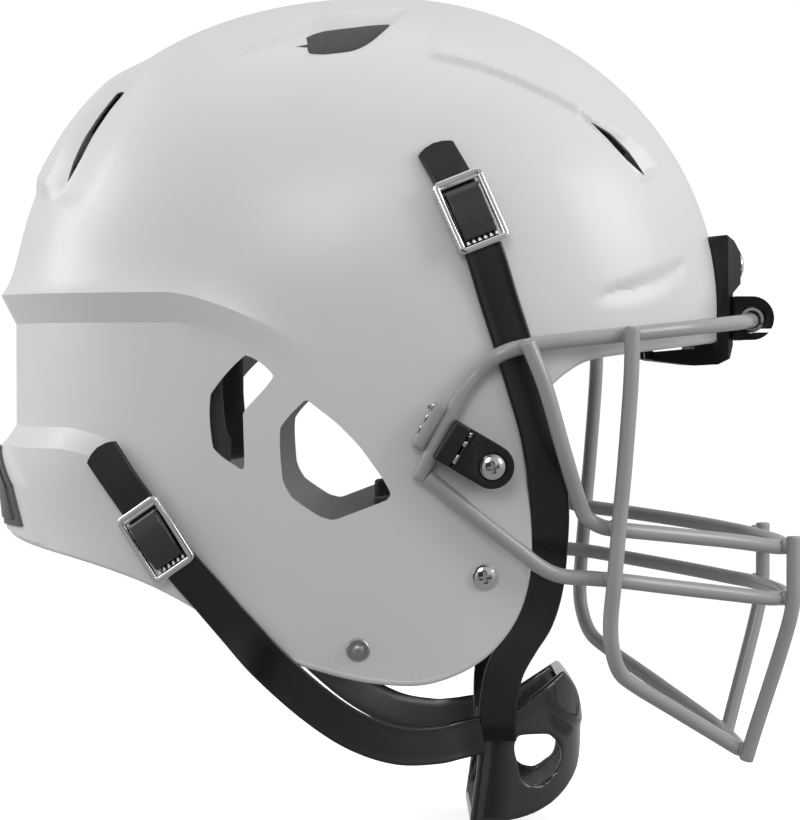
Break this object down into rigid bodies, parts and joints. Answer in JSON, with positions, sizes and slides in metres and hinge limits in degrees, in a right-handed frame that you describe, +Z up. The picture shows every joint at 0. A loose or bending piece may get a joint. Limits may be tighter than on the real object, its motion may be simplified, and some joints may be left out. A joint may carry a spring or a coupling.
{
  "type": "american football helmet",
  "caption": "Vented hard-shell football helmet with face guard wires, side and front clips, padded liner, chin cup and four buckled straps.",
  "frame": {"origin": "middle of the line between the centres of the two ear holes, which is where a head form's basic plane crosses the mid-plane", "axes": "+X towards the front, +Y towards the wearer's left, +Z up"},
  "size_m": [0.3393, 0.2478, 0.3473],
  "materials": {
    "shell_white": "satin moulded polycarbonate, white",
    "guard_grey": "satin grey dip coating on steel wire",
    "clip_black": "semi-gloss moulded black",
    "cup_black": "gloss moulded black",
    "bumper_grey": "satin dark grey plate",
    "liner_black": "padding in black knitted cover",
    "strap_black": "vinyl coated webbing, semi-gloss black",
    "chrome": "bright chrome plate",
    "zinc": "dull zinc plate"
  },
  "bodies": {
    "root": {"brow_wire": "guard_grey", "clip_rod_left": "guard_grey", "clip_rod_right": "guard_grey", "crown_pad": "liner_black", "front_bar_left": "guard_grey", "front_bar_right": "guard_grey", "front_bumper": "clip_black", "front_clip_left": "clip_black", "front_clip_right": "clip_black", "front_pad": "liner_black", "front_screw_left": "chrome", "front_screw_right": "chrome", "jaw_left_nut": "zinc", "jaw_left_screw": "chrome", "jaw_pad_left": "liner_black", "jaw_pad_right": "liner_black", "jaw_right_nut": "zinc", "jaw_right_screw": "chrome", "jaw_wire": "guard_grey", "lower_left_buckle": "chrome", "lower_left_snap": "zinc", "lower_right_buckle": "chrome", "lower_right_snap": "zinc", "lower_strap_left": "strap_black", "lower_strap_right": "strap_black", "lower_stud_left": "chrome", "lower_stud_right": "chrome", "lower_wire": "guard_grey", "rear_bumper": "bumper_grey", "rear_pad": "liner_black", "rear_side_pad_left": "liner_black", "rear_side_pad_right": "liner_black", "shell": "shell_white", "side_clip_left": "clip_black", "side_clip_left_nut": "zinc", "side_clip_left_screw": "chrome", "side_clip_right": "clip_black", "side_clip_right_nut": "zinc", "side_clip_right_screw": "chrome", "side_pad_left": "liner_black", "side_pad_right": "liner_black", "upper_left_buckle": "chrome", "upper_left_snap": "zinc", "upper_right_buckle": "chrome", "upper_right_snap": "zinc", "upper_strap_left": "strap_black", "upper_strap_right": "strap_black", "upper_wire": "guard_grey"},
    "chin_cup_unit": {"chin_cup": "cup_black", "chin_cup_pad": "liner_black"},
    "lower_left_lever": {"lower_left_lever": "chrome"},
    "lower_right_lever": {"lower_right_lever": "chrome"},
    "upper_left_lever": {"upper_left_lever": "chrome"},
    "upper_right_lever": {"upper_right_lever": "chrome"}
  },
  "joints": [
    {"name": "chin_cup_swing", "type": "hinge", "parent": "root", "child": "chin_cup_unit", "pos_m": [0.079, 0, 0.046], "axis": [0, 1, 0], "range_deg": [-12, 12], "deforming": ["lower_strap_left", "lower_strap_right", "upper_strap_left", "upper_strap_right"]},
    {"name": "lower_left_lever_lift", "type": "hinge", "parent": "root", "child": "lower_left_lever", "pos_m": [-0.07653, 0.0969, -0.02371], "axis": [0.7707, 0.3389, 0.5396], "range_deg": [0, 65]},
    {"name": "lower_right_lever_lift", "type": "hinge", "parent": "root", "child": "lower_right_lever", "pos_m": [-0.07653, -0.0969, -0.02371], "axis": [-0.7707, 0.3389, -0.5396], "range_deg": [0, 65]},
    {"name": "upper_left_lever_lift", "type": "hinge", "parent": "root", "child": "upper_left_lever", "pos_m": [0.04988, 0.11312, 0.10725], "axis": [0.9086, -0.1991, 0.3671], "range_deg": [0, 65]},
    {"name": "upper_right_lever_lift", "type": "hinge", "parent": "root", "child": "upper_right_lever", "pos_m": [0.04988, -0.11312, 0.10725], "axis": [-0.9086, -0.1991, -0.3671], "range_deg": [0, 65]}
  ]
}
